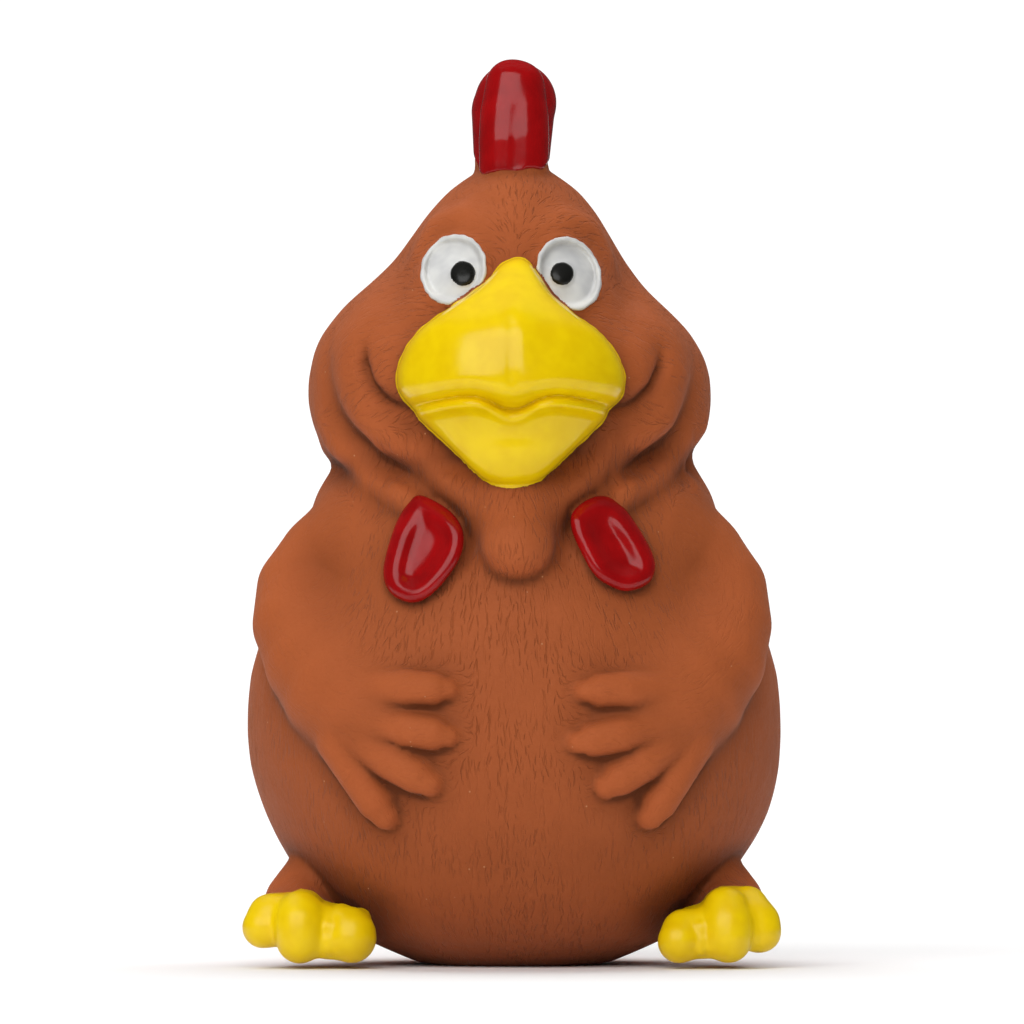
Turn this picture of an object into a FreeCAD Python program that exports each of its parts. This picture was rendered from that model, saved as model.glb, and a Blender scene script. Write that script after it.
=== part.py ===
"""Rubber chicken: a seated, hollow latex bird that squeaks when it is pressed.

Millimetres. +Z is up, the bird faces -Y, and its own left side is at +X. The origin is the bottom centre
of its bounding box, on the surface that it sits on.

The latex moulding is one skin on the real object. Here it is two nodes that meet face to face at SPLIT_Z,
because the part above moves down when the bird is pressed and the part below crumples. Each painted
feature of the moulding (comb, beak, eyes, wattles, toes) is a node of its own. A stuffing of fibre fills
the hollow, and a reed squeaker closes the hole in the base.
"""

import FreeCAD, Part

import math
import os

from FreeCAD import Placement, Rotation, Vector

# ---- driving dimensions -------------------------------------------------------------------------
WALL = 2.0            # latex skin
BASE_WALL = 3.6       # thicker latex round the squeaker's hole
STUFFING_GAP = 0.5    # between the stuffing and the skin
SPLIT_Z = 58.0        # where the moving and the crumpling part of the skin meet
FACE_REACH = 46.0     # beak tip and tail tip, in front of and behind the squeaker's axis
COMB_TOP_Z = 150.0
SECTION_POINTS = 20   # points on each closed section curve

# Sections of the bird: height, half width, reach to the front, reach to the back.
TORSO = [
    (0.0, 16.0, 16.0, 16.0),
    (1.3, 21.5, 21.0, 20.5),
    (5.0, 27.5, 26.5, 25.5),
    (11.0, 33.3, 32.0, 30.5),
    (18.0, 38.0, 36.5, 34.5),
    (27.0, 42.0, 39.8, 37.5),
    (38.0, 44.1, 41.0, 38.5),
    (50.0, 42.6, 39.5, 37.0),
    (62.0, 38.4, 35.5, 32.5),
    (73.0, 33.2, 31.0, 27.0),
    (83.0, 28.0, 26.5, 22.0),
    (92.0, 20.0, 19.0, 16.0),
]
HEAD = [
    (77.0, 22.0, 21.5, 16.0),
    (81.0, 28.5, 27.0, 20.5),
    (86.0, 32.0, 29.5, 23.5),
    (92.0, 33.4, 30.5, 25.5),
    (98.0, 33.0, 30.0, 26.0),
    (104.0, 30.3, 28.2, 25.5),
    (109.0, 26.0, 26.2, 24.2),
    (114.0, 20.8, 23.6, 22.2),
    (119.0, 17.2, 20.4, 19.6),
    (124.0, 13.8, 16.6, 17.2),
    (128.0, 10.4, 12.8, 15.2),
    (131.0, 7.6, 9.5, 13.5),
]
# Sections of the beak, measured from its root axis at BEAK_ROOT_Y.
BEAK_ROOT_Y = -18.0
LIP_Z = 91.8
UPPER_BEAK = [
    (LIP_Z, 17.0, 26.5, 2.0),
    (94.5, 18.6, 28.0, 3.0),
    (98.0, 18.8, 27.2, 3.0),
    (102.0, 17.4, 24.6, 3.0),
    (106.0, 13.6, 20.4, 3.0),
    (110.0, 8.6, 15.4, 3.0),
    (114.0, 5.2, 10.8, 2.0),
    (117.3, 3.2, 7.0, 1.5),
]
LOWER_BEAK = [
    (79.2, 4.0, 15.2, 2.0),
    (81.5, 7.4, 18.4, 2.0),
    (85.0, 11.2, 21.4, 2.0),
    (88.5, 14.6, 23.6, 2.0),
    (LIP_Z, 16.6, 24.6, 2.0),
]

# The +X side of each paired feature; the other side is its mirror image. An egg or a lens is its centre,
# its radii across and along its axis, and the axis.
DEWLAP = ((0.0, -30.2, 73.0), 7.2, 11.0, (0.0, 0.14, 1.0))
JOWL = [(24.5, -13.0, 90.0, 8.6), (16.5, -21.0, 82.0, 7.4), (6.0, -27.0, 75.0, 6.4)]
ARM = [(31.6, -5.0, 65.5, 9.6), (33.6, -11.0, 54.0, 9.7), (29.0, -23.5, 42.5, 8.0), (25.0, -29.6, 37.6, 5.8)]
FINGERS = [                   # root x, root z, tip x, tip z, radius
    (22.5, 44.5, 11.4, 45.4, 3.1),
    (21.5, 39.5, 10.6, 37.6, 3.2),
    (24.0, 35.5, 14.0, 30.8, 3.3),
    (28.0, 33.0, 21.4, 25.4, 3.1),
]
THIGH = [(30.0, -8.0, 16.0, 9.0), (34.0, -17.0, 8.6, 6.0)]
TOES = [                      # root x, y, z, radius, then tip x, y, z, radius
    ((28.5, -18.0, 5.4, 4.8), (26.8, -31.5, 4.4, 4.4)),
    ((33.2, -18.0, 7.0, 5.2), (34.6, -31.0, 5.6, 4.6)),
    ((36.0, -16.0, 7.6, 5.0), (40.0, -25.5, 6.9, 4.2)),
]
EYE = ((9.7, -21.8, 114.8), 6.4, 3.0, (0.40, -1.0, 0.45))
PUPIL = ((8.2, -25.4, 114.9), 2.5, 1.0, (0.32, -1.0, 0.36))
WATTLE = ((15.4, -29.4, 69.6), 5.0, 9.0, (-0.5, 0.1, 1.0))
TAIL = [(0.0, 34.0, 30.0, 8.0), (0.0, FACE_REACH - 5.4, 42.0, 5.4)]
TAIL_SIDE = [(7.0, 33.5, 29.0, 6.5), (8.5, 38.5, 39.0, 4.4)]
COMB_LOBES = [                # centre y, top height, radius at the root and at the tip
    (-5.4, 149.2, 6.3, 5.8),
    (3.4, COMB_TOP_Z, 6.9, 6.7),
    (11.8, 145.0, 6.2, 5.6),
]
COMB_ROOT_Z = 124.0

# Squeaker, about the Z axis
RECESS_RADIUS, RECESS_DEPTH = 12.4, 1.8
SEAT_RADIUS = 9.0
FLANGE_RADIUS, FLANGE_THICKNESS = 12.0, 1.2
BARB_RADIUS, BARB_HEIGHT = 10.3, 2.0
CUP_RADIUS, CUP_BORE, CUP_FLOOR, CUP_TOP = 8.6, 7.5, 1.6, 21.0
HOLDER_Z, HOLDER_PLATE = 6.5, 2.0
TROUGH_RADIUS, TROUGH_TOP = 3.4, 18.6
CHANNEL_WIDTH, CHANNEL_DEPTH = 2.4, 1.8
REED_WIDTH, REED_THICKNESS = 3.8, 0.2
REED_SLOT = 0.4               # the slot that the reed's root sits in
REED_ROOT_Z, CLIP_TOP_Z, REED_TIP_Z = 9.2, 11.6, 18.3
REED_OPENING = 3.0            # the trough's face leans away from the reed by this, in degrees
CAP_THICKNESS = 1.2
SOUND_HOLE, SOUND_RING = 1.0, 4.4


# ---- shapes -------------------------------------------------------------------------------------
def section(station, centre_y):
    """A closed smooth curve at one height, with its own reach to the front and to the back."""
    z, half_width, front, back = station
    points = []
    for i in range(SECTION_POINTS):
        a = 2 * math.pi * i / SECTION_POINTS
        reach = back if math.sin(a) > 0 else front
        points.append(Vector(half_width * math.cos(a), centre_y + reach * math.sin(a), z))
    curve = Part.BSplineCurve()
    curve.interpolate(points, PeriodicFlag=True)
    return Part.Wire(curve.toShape())


def at_height(stations, z):
    """The half width and reaches between two stations."""
    for low, high in zip(stations, stations[1:]):
        if low[0] <= z <= high[0]:
            t = (z - low[0]) / (high[0] - low[0])
            return [a + t * (b - a) for a, b in zip(low[1:], high[1:])]
    raise ValueError(f"no section at height {z}")


def set_in(stations, inset, bottom):
    """The stations moved in from the surface by inset, from height bottom to inset under the top."""
    top = stations[-1][0] - inset
    heights = [bottom] + [s[0] for s in stations if bottom + inset < s[0] < top - inset] + [top]
    moved = []
    for z in heights:
        low = max(stations[0][0], z - inset)
        high = min(stations[-1][0], z + inset)
        here = []
        for r, r_low, r_high in zip(at_height(stations, z), at_height(stations, low), at_height(stations, high)):
            slope = (r_high - r_low) / (high - low)
            here.append(max(1.0, r - inset * math.hypot(1.0, slope)))
        moved.append((z, *here))
    return moved


def loft(stations, centre_y=0.0):
    return Part.makeLoft([section(s, centre_y) for s in stations], True, False)


def egg(centre, across, along, axis):
    """A ball stretched along an axis; across and along are its radii."""
    ellipse = Part.Ellipse(Vector(0, 0, along), Vector(across, 0, 0), Vector())
    arc = Part.Arc(ellipse, 0, math.pi).toShape()
    chord = Part.makeLine(arc.lastVertex().Point, arc.firstVertex().Point)
    shape = Part.Face(Part.Wire([arc, chord])).revolve(Vector(), Vector(0, 0, 1), 360)
    shape.Placement = Placement(Vector(*centre), Rotation(Vector(0, 0, 1), Vector(*axis)))
    return shape


def lens(centre, across, along, axis):
    """Two spherical caps back to back; across is the rim's radius and along the height of each cap."""
    radius = (across ** 2 + along ** 2) / (2 * along)
    offset = Vector(*axis).normalize() * (radius - along)
    front = Part.makeSphere(radius, Vector(*centre) - offset)
    return front.common(Part.makeSphere(radius, Vector(*centre) + offset))


def limb(nodes):
    """Balls joined by the cones that touch them; each node is x, y, z, radius."""
    balls = [Part.makeSphere(r, Vector(x, y, z)) for x, y, z, r in nodes]
    cones = []
    for a, b in zip(nodes, nodes[1:]):
        start, end = Vector(*a[:3]), Vector(*b[:3])
        along = end - start
        lean = (a[3] - b[3]) / along.Length
        shrink = math.sqrt(1 - lean * lean)
        direction = Vector(along).normalize()
        foot = start + direction * (a[3] * lean)
        length = along.Length - (a[3] - b[3]) * lean
        if abs(a[3] - b[3]) < 1e-6:
            cones.append(Part.makeCylinder(a[3], length, foot, direction))
        else:
            cones.append(Part.makeCone(a[3] * shrink, b[3] * shrink, length, foot, direction))
    return fused(balls + cones)


def fused(shapes):
    return shapes[0].multiFuse(shapes[1:]) if len(shapes) > 1 else shapes[0]


def mirrored(shape):
    return shape.mirror(Vector(0, 0, 0), Vector(1, 0, 0))


def both(shape):
    return [shape, mirrored(shape)]


def cylinder(radius, low, high, x=0.0, y=0.0):
    return Part.makeCylinder(radius, high - low, Vector(x, y, low))


def block(x0, x1, y0, y1, z0, z1):
    return Part.makeBox(x1 - x0, y1 - y0, z1 - z0, Vector(x0, y0, z0))


def above(z):
    return block(-100, 100, -100, 100, z, 300)


# ---- the latex moulding -------------------------------------------------------------------------
def belly_front(x, z):
    """Y of the belly's front surface."""
    half_width, front, _ = at_height(TORSO, z)
    return -front * math.sqrt(1 - (x / half_width) ** 2)


def finger(root_x, root_z, tip_x, tip_z, radius):
    return limb([
        (root_x, belly_front(root_x, root_z) + 0.4 * radius, root_z, radius),
        (tip_x, belly_front(tip_x, tip_z) + 0.4 * radius, tip_z, 0.82 * radius),
    ])


def arms():
    arm = fused([limb(ARM)] + [finger(*f) for f in FINGERS])
    return both(arm)


def tail():
    return [limb(TAIL)] + both(limb(TAIL_SIDE))


def outside():
    """The outer form of the whole skin, solid, with its eye sockets."""
    lumps = arms() + both(limb(JOWL)) + both(limb(THIGH)) + tail() + [egg(*DEWLAP)]
    return fused([loft(TORSO), loft(HEAD)] + lumps).common(above(0.0)).cut(sockets())


def sockets():
    return fused(both(lens(*EYE)))


def hollow(inset, bottom):
    """The space inside the skin, inset from its surface. It reaches into the beak."""
    body = loft(set_in(TORSO, inset, bottom))
    head = loft(set_in(HEAD, inset, HEAD[0][0] + inset))
    beak = [loft(set_in(b, inset, b[0][0] + inset), BEAK_ROOT_Y) for b in (LOWER_BEAK, UPPER_BEAK)]
    return fused([body, head] + beak)


def skin(form, space):
    seat = fused([cylinder(RECESS_RADIUS, -1, RECESS_DEPTH), cylinder(SEAT_RADIUS, -1, BASE_WALL + 1)])
    whole = form.cut(space).cut(seat)
    return {"lower_skin": whole.cut(above(SPLIT_Z)), "upper_skin": whole.common(above(SPLIT_Z))}


# ---- painted features ---------------------------------------------------------------------------
def comb(form):
    lobes = [limb([(0, y, COMB_ROOT_Z, root), (0, y, top - tip, tip)]) for y, top, root, tip in COMB_LOBES]
    return fused(lobes).cut(form)


def toes(form):
    return fused([limb(toe) for toe in TOES]).common(above(0.0)).cut(form)


def painted(form, space):
    upper = loft(UPPER_BEAK, BEAK_ROOT_Y).cut(form).cut(space).cut(sockets())
    lower = loft(LOWER_BEAK, BEAK_ROOT_Y).cut(form).cut(space)
    white = lens(*EYE)
    black = lens(*PUPIL).cut(white)
    flap = egg(*WATTLE).cut(form)
    foot = toes(form)
    return {
        "comb": comb(form),
        "upper_beak": upper,
        "lower_beak": lower,
        "left_eye_white": white,
        "right_eye_white": mirrored(white),
        "left_pupil": black,
        "right_pupil": mirrored(black),
        "left_wattle": flap,
        "right_wattle": mirrored(flap),
        "left_toes": foot,
        "right_toes": mirrored(foot),
    }


# ---- stuffing and squeaker ----------------------------------------------------------------------
def stuffing():
    room = cylinder(BARB_RADIUS + STUFFING_GAP, 0, CUP_TOP + CAP_THICKNESS + STUFFING_GAP)
    return hollow(WALL + STUFFING_GAP, BASE_WALL + STUFFING_GAP).cut(room)


def ring_of_holes(low, high, count):
    holes = [cylinder(SOUND_HOLE, low, high)]
    for i in range(count):
        a = 2 * math.pi * i / count
        holes.append(cylinder(SOUND_HOLE, low, high, SOUND_RING * math.cos(a), SOUND_RING * math.sin(a)))
    return fused(holes)


def housing():
    """Flange in the base's recess, neck in its hole, a barb that holds it, and a cup."""
    flange_z = RECESS_DEPTH - FLANGE_THICKNESS
    floor_z = flange_z + CUP_FLOOR
    barb = Part.makeCone(BARB_RADIUS, CUP_RADIUS, BARB_HEIGHT, Vector(0, 0, BASE_WALL))
    body = fused([
        cylinder(FLANGE_RADIUS, flange_z, RECESS_DEPTH),
        cylinder(SEAT_RADIUS, RECESS_DEPTH, BASE_WALL),
        barb,
        cylinder(CUP_RADIUS, BASE_WALL, CUP_TOP),
    ])
    ledge = cylinder(CUP_BORE - 1.0, floor_z, HOLDER_Z)
    return body.cut(cylinder(CUP_BORE, HOLDER_Z, CUP_TOP + 1)).cut(ledge).cut(ring_of_holes(0, floor_z + 1, 6))


def reed_holder():
    """A plate across the cup with half a tube on it, whose flat face carries the reed over an air channel."""
    plate_top = HOLDER_Z + HOLDER_PLATE
    plate = cylinder(CUP_BORE, HOLDER_Z, plate_top)
    trough = cylinder(TROUGH_RADIUS, plate_top, TROUGH_TOP).common(block(-9, 9, 0, 9, 0, 40))
    channel = block(-CHANNEL_WIDTH / 2, CHANNEL_WIDTH / 2, -0.01, CHANNEL_DEPTH, HOLDER_Z - 1, TROUGH_TOP - 1.2)
    lean = block(-9, 9, -9, 0, 0, 20)
    lean.Placement = Placement(Vector(0, 0, CLIP_TOP_Z), Rotation(Vector(1, 0, 0), -REED_OPENING))
    return fused([plate, trough]).cut(channel).cut(lean)


def reed():
    middle = -REED_SLOT / 2
    return block(-REED_WIDTH / 2, REED_WIDTH / 2, middle - REED_THICKNESS / 2, middle + REED_THICKNESS / 2,
                 REED_ROOT_Z, REED_TIP_Z)


def reed_clip():
    """The other half of the tube, short, which holds the reed's root."""
    plate_top = HOLDER_Z + HOLDER_PLATE
    clip = cylinder(TROUGH_RADIUS, plate_top, CLIP_TOP_Z).common(block(-9, 9, -9, -REED_SLOT, 0, 40))
    side = (TROUGH_RADIUS + REED_WIDTH / 2 + 0.1) / 2
    ears = [block(side - 0.6, side + 0.6, -REED_SLOT, 0, plate_top, CLIP_TOP_Z)]
    return fused([clip] + ears + [mirrored(e) for e in ears])


def cap():
    """A perforated lid that keeps the stuffing out of the cup."""
    lid = cylinder(CUP_RADIUS, CUP_TOP, CUP_TOP + CAP_THICKNESS)
    spigot = cylinder(CUP_BORE, CUP_TOP - 1.5, CUP_TOP).cut(cylinder(CUP_BORE - 1.0, 0, CUP_TOP))
    return fused([lid, spigot]).cut(ring_of_holes(0, CUP_TOP + 5, 6))


def squeaker():
    return {
        "squeaker_housing": housing(),
        "reed_holder": reed_holder(),
        "reed": reed(),
        "reed_clip": reed_clip(),
        "squeaker_cap": cap(),
    }


def main():
    form = outside()
    space = hollow(WALL, BASE_WALL)
    nodes = {**skin(form, space), **painted(form, space), "fibre_stuffing": stuffing(), **squeaker()}
    os.makedirs("parts", exist_ok=True)
    for name, shape in nodes.items():
        if len(shape.Solids) != 1:
            raise ValueError(f"{name} came out as {len(shape.Solids)} solids")
        shape = shape.Solids[0]
        print(f"{name}: {shape.Volume / 1000:.2f} cm3, valid {shape.isValid()}")
        shape.exportStep(f"parts/{name}.step")


main()
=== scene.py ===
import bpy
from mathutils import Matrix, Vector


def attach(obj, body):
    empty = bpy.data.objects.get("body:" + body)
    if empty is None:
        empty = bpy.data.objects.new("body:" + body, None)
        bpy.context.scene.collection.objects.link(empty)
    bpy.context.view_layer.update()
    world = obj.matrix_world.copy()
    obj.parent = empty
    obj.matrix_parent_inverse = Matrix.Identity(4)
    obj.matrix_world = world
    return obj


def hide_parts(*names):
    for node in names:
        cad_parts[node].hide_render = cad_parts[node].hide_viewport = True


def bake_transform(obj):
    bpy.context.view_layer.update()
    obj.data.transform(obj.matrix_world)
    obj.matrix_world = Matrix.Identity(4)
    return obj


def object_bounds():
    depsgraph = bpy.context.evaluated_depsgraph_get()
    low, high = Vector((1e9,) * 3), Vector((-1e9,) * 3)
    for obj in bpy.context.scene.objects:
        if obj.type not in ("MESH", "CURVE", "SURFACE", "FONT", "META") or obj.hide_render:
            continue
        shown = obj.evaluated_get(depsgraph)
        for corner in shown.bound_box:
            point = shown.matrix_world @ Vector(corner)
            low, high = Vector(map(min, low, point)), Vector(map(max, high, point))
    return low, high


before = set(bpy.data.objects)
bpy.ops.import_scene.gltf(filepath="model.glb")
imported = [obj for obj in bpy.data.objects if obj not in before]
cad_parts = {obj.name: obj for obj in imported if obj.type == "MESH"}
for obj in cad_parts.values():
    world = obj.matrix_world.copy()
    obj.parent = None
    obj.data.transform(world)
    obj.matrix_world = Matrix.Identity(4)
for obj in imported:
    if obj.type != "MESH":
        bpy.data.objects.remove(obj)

import copy
import math

import bpy
import numpy as np
import openvdb
from mathutils import Vector

CAD_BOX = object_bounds()

MM = 0.001
DESIGN_HEIGHT = 150.0                  # in millimetres, like every other length here
K = (CAD_BOX[1][2] - CAD_BOX[0][2]) / MM / DESIGN_HEIGHT     # 1.0 while the frame is that tall
SIDES = {-1: "right", 1: "left"}       # the bird's own right is at -X

# ---- stations: height, half width, reach to the front, reach to the back
TORSO = [
    (-4.0, 4.0, 4.0, 4.0), (-2.0, 9.5, 9.5, 9.5), (-0.6, 13.6, 13.6, 13.6), (0.6, 16.6, 16.4, 16.2),
    (2.3, 20.8, 20.2, 19.8), (5.0, 26.6, 25.6, 25.0), (8.5, 30.8, 29.8, 28.8), (12.5, 34.2, 33.2, 31.8),
    (17.0, 37.2, 35.8, 34.0), (21.0, 39.7, 37.8, 35.8), (25.0, 41.6, 39.4, 37.2), (29.0, 42.9, 40.4, 38.0),
    (33.0, 43.8, 41.0, 38.5), (38.0, 44.2, 41.2, 38.7), (43.0, 44.1, 40.8, 38.3), (48.0, 43.6, 39.9, 37.2),
    (53.0, 42.2, 38.7, 35.6), (58.0, 40.1, 37.4, 33.8), (63.0, 37.8, 35.8, 31.8), (68.0, 36.0, 34.2, 29.6),
    (73.0, 34.2, 32.4, 27.4), (78.0, 32.7, 30.2, 25.2), (83.0, 29.6, 27.6, 23.0), (88.0, 27.5, 24.0, 20.5),
    (93.0, 23.0, 18.0, 16.0), (98.0, 16.0, 10.0, 10.0),
]
HEAD = [
    (70.0, 6.0, 8.0, 4.0), (73.0, 13.0, 15.0, 9.5), (76.0, 20.0, 20.5, 14.5),
    (79.0, 25.6, 24.6, 18.6), (82.0, 28.6, 27.2, 21.6), (85.0, 30.7, 29.1, 23.8),
    (89.0, 32.7, 30.4, 25.4), (93.0, 33.4, 30.9, 26.3), (97.0, 33.3, 30.7, 26.6),
    (101.0, 32.3, 30.0, 26.3), (104.5, 30.5, 28.9, 25.7), (108.5, 27.0, 27.2, 24.7),
    (112.4, 22.75, 25.2, 23.4), (116.4, 19.2, 22.8, 21.7), (120.3, 16.6, 20.3, 19.8),
    (124.3, 14.0, 17.2, 17.6), (128.3, 10.6, 13.6, 15.2), (131.0, 6.6, 9.2, 12.4),
    (134.0, 2.0, 3.5, 6.0),
]
BEAK_ROOT_Y = -16.0
UPPER_BEAK = [
    (90.0, 20.0, 23.2, 3.0), (91.6, 21.2, 25.8, 3.0), (93.2, 22.2, 27.8, 3.0), (95.0, 22.8, 28.65, 3.0),
    (97.0, 23.0, 28.6, 3.0), (100.2, 22.6, 28.0, 3.0), (104.0, 21.2, 26.4, 3.0), (107.0, 18.8, 24.4, 3.0),
    (109.5, 15.8, 21.8, 3.0), (112.0, 12.6, 18.8, 3.0), (114.5, 9.8, 15.6, 3.0), (116.3, 7.8, 12.6, 3.0),
    (118.0, 5.6, 9.4, 2.0), (119.6, 3.0, 6.0, 2.0),
]
LOWER_BEAK = [
    (76.8, 9.0, 17.4, 3.0), (79.2, 11.4, 19.6, 3.0), (81.4, 13.4, 21.1, 3.0), (84.2, 15.6, 22.5, 3.0),
    (87.2, 17.8, 23.5, 3.0), (89.8, 19.6, 24.6, 3.0), (92.0, 20.6, 25.4, 3.0), (94.5, 20.6, 25.0, 3.0),
    (97.0, 14.0, 20.0, 3.0),
]
BEAK_OUTLINE = [   # x, z from the tip between the eyes, left side of the bird first
    (0.6, 116.6), (2.6, 115.7), (4.2, 113.2), (6.3, 110.3), (10.0, 107.1), (13.6, 104.6),
    (16.1, 101.8), (17.8, 98.5), (18.1, 95.7), (17.3, 93.4), (15.4, 91.6), (14.8, 90.2),
    (13.0, 88.2), (10.0, 85.4), (6.3, 81.8), (3.5, 79.7), (-0.2, 79.0), (-3.6, 79.5),
    (-6.4, 81.4), (-8.9, 83.9), (-12.2, 87.1), (-15.3, 89.9), (-16.4, 91.6), (-18.6, 94.2),
    (-19.2, 96.5), (-18.9, 98.9), (-17.4, 102.2), (-14.6, 105.4), (-10.5, 108.3), (-6.4, 111.1),
    (-4.0, 113.2), (-2.0, 115.5),
]


def smooth_profile(stations):
    """The stations as smooth curves over height: heights, and one row for each measure."""
    spread, step = 1.1, 0.25
    table = np.array(stations)
    z = np.arange(table[0, 0], table[-1, 0] + step, step)
    reach = int(3 * spread / step)
    weights = np.exp(-0.5 * (np.arange(-reach, reach + 1) * step / spread) ** 2)
    weights /= weights.sum()
    rows = []
    for column in table[:, 1:].T:
        row = np.interp(z, table[:, 0], column)
        start, end = 2 * row[0] - row[reach:0:-1], 2 * row[-1] - row[-2:-reach - 2:-1]
        rows.append(np.convolve(np.concatenate([start, row, end]), weights, "valid"))
    return z, rows


# ---- the clay: a signed distance, in millimetres, on a grid; negative inside
FAR = 50.0     # where nothing has been modelled yet


class Grid:
    """A box of the clay's distances, f, and the outlines of the paints on it."""
    def __init__(self, low, high, step):
        self.low, self.step = np.array(low, float), step
        self.count = [math.ceil((b - a) / step) + 1 for a, b in zip(low, high)]
        axes = [(low[i] + step * np.arange(self.count[i])).astype(np.float32) for i in range(3)]
        self.x, self.y, self.z = axes[0][:, None, None], axes[1][None, :, None], axes[2][None, None, :]
        self.f = np.full(self.count, FAR, np.float32)
        self.paint = {}     # name: a field that is negative inside the paint's outline
        self.rim = {}       # for paints that meet another: the same without the line between them

    def mark(self, name, field, cut=None):
        """Says where a paint lies: negative inside its outline."""
        if cut is None:
            self.paint[name] = np.broadcast_to(field, self.count).astype(np.float32)
            return
        whole = self.paint.setdefault(name, np.full(self.count, FAR, np.float32))
        whole[cut] = np.minimum(whole[cut], field)

    def window(self, low, high):
        """The slices of the part of the grid inside a box, and its x, y and z; or None."""
        cut = []
        for i in range(3):
            a = max(0, int((low[i] - self.low[i]) / self.step))
            b = min(self.count[i], int((high[i] - self.low[i]) / self.step) + 2)
            if b - a < 2:
                return None
            cut.append(slice(a, b))
        return tuple(cut), self.x[cut[0]], self.y[:, cut[1]], self.z[:, :, cut[2]]


def blend_min(a, b, k):
    """The union of two forms, with a fillet of about k where they meet."""
    h = np.clip(0.5 + 0.5 * (b - a) / k, 0.0, 1.0)
    return b + (a - b) * h - k * h * (1.0 - h)


def soften(field, step, reach):
    """A running mean over a cube of about reach millimetres each way."""
    n = max(1, round(reach / step))
    for axis, size in enumerate(field.shape):
        if size == 1:
            continue
        start = np.zeros_like(np.take(field, [0], axis), dtype=np.float64)
        total = np.concatenate([start, np.cumsum(field, axis=axis, dtype=np.float64)], axis)
        high = np.minimum(np.arange(size) + n + 1, size)
        low = np.maximum(np.arange(size) - n, 0)
        span = (high - low).reshape([-1 if i == axis else 1 for i in range(3)])
        field = ((np.take(total, high, axis) - np.take(total, low, axis)) / span).astype(np.float32)
    return field


def rise(low, high, v):
    """A smooth step from 0 at low to 1 at high."""
    t = np.clip((v - low) / (high - low), 0.0, 1.0)
    return t * t * (3 - 2 * t)


def column_form(g, stations, power, centre_y=0.0, lean=None):
    """The distance to a form given by stations; a power above 2 makes it squarer."""
    heights, (half, front, back) = smooth_profile(stations)
    z = g.z[0, 0]
    rows = [np.interp(z, heights, row).astype(np.float32) for row in (half, front, back)]
    half, front, back = [row[None, None, :] for row in rows]
    x = g.x - (lean(z)[None, None, :].astype(np.float32) if lean else 0.0)
    y = g.y - centre_y
    depth = np.where(y < 0, front, back)
    radius = np.sqrt(x * x + y * y) + 1e-4
    share = ((np.abs(x) / half) ** power + (np.abs(y) / depth) ** power) ** (1.0 / power) + 1e-5
    surface = radius / share
    slope = np.gradient(surface, g.step, axis=2)
    f = (radius - surface) / np.sqrt(1.0 + np.clip(slope, -3, 3) ** 2)
    above, below = z - heights[-1], heights[0] - z
    outside = np.maximum(above, below).astype(np.float32)[None, None, :]
    return np.maximum(f, outside)


def chain_field(x, y, z, points, k=0.0):
    """Distance to a chain of balls with touching cones between them; a point is x, y, z, radius."""
    best = None
    for a, b in zip(points, points[1:]):
        ax, ay, az, ar = a
        dx, dy, dz, dr = b[0] - ax, b[1] - ay, b[2] - az, b[3] - ar
        length2 = dx * dx + dy * dy + dz * dz
        t = np.clip(((x - ax) * dx + (y - ay) * dy + (z - az) * dz) / length2, 0.0, 1.0)
        away = np.sqrt((x - ax - t * dx) ** 2 + (y - ay - t * dy) ** 2 + (z - az - t * dz) ** 2)
        d = away - (ar + t * dr)
        if best is None:
            best = d
        else:
            best = blend_min(best, d, k) if k else np.minimum(best, d)
    return best


def box_of(points, margin):
    """The low and high corners of the box that holds the points, with a margin."""
    table = np.array([p[:3] for p in points])
    return table.min(0) - margin, table.max(0) + margin


def add_chain(g, points, k):
    """Adds a chain to the clay; k, its fillet, is a number or a function of the place."""
    reach = max(p[3] for p in points) + 6.0
    part = g.window(*box_of(points, reach))
    if part is None:
        return
    cut, x, y, z = part
    soft = k(x, y, z) if callable(k) else k
    g.f[cut] = blend_min(g.f[cut], chain_field(x, y, z, points), soft)


def press(g, points, width, height, sink=0.88):
    """Raises (or, with a negative height, grooves) the surface along a line of x, y, z, strength points.

    The distance along the normal counts for little, and the less the nearer sink is to 1: a line drawn
    on the base form also marks what was modelled over it, up to deepest.
    """
    deepest = 7.0
    part = g.window(*box_of(points, 2.6 * width + 4.0))
    if part is None:
        return
    cut, x, y, z = part
    near, weight = None, None
    for a, b in zip(points, points[1:]):
        a, b = np.array(a, float), np.array(b, float)
        d = b[:3] - a[:3]
        n = normal_at(BASE, (a[:3] + b[:3]) / 2)
        t = np.clip(((x - a[0]) * d[0] + (y - a[1]) * d[1] + (z - a[2]) * d[2]) / (d @ d), 0.0, 1.0)
        u, v, w = x - a[0] - t * d[0], y - a[1] - t * d[1], z - a[2] - t * d[2]
        out = (u * n[0] + v * n[1] + w * n[2]) ** 2
        gap = u * u + v * v + w * w - sink * out
        gap = np.where(out > deepest ** 2, gap + out, gap)
        strength = a[3] * (1 - t) + b[3] * t
        if near is None:
            near, weight = gap, strength
        else:
            closer = gap < near
            near, weight = np.where(closer, gap, near), np.where(closer, strength, weight)
    g.f[cut] -= height * weight * np.exp(-near / (width * width))


def smooth_outline(points):
    """A closed curve through the given x, z points, as many short edges."""
    cuts = 6
    p = np.array(points, float)
    a, b, c, d = np.roll(p, 1, 0), p, np.roll(p, -1, 0), np.roll(p, -2, 0)
    out = []
    for t in np.arange(cuts) / cuts:
        square, cube = (2 * a - 5 * b + 4 * c - d) * t ** 2, (3 * b - a - 3 * c + d) * t ** 3
        out.append(0.5 * (2 * b + (c - a) * t + square + cube))
    return np.stack(out, 1).reshape(-1, 2)


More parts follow.
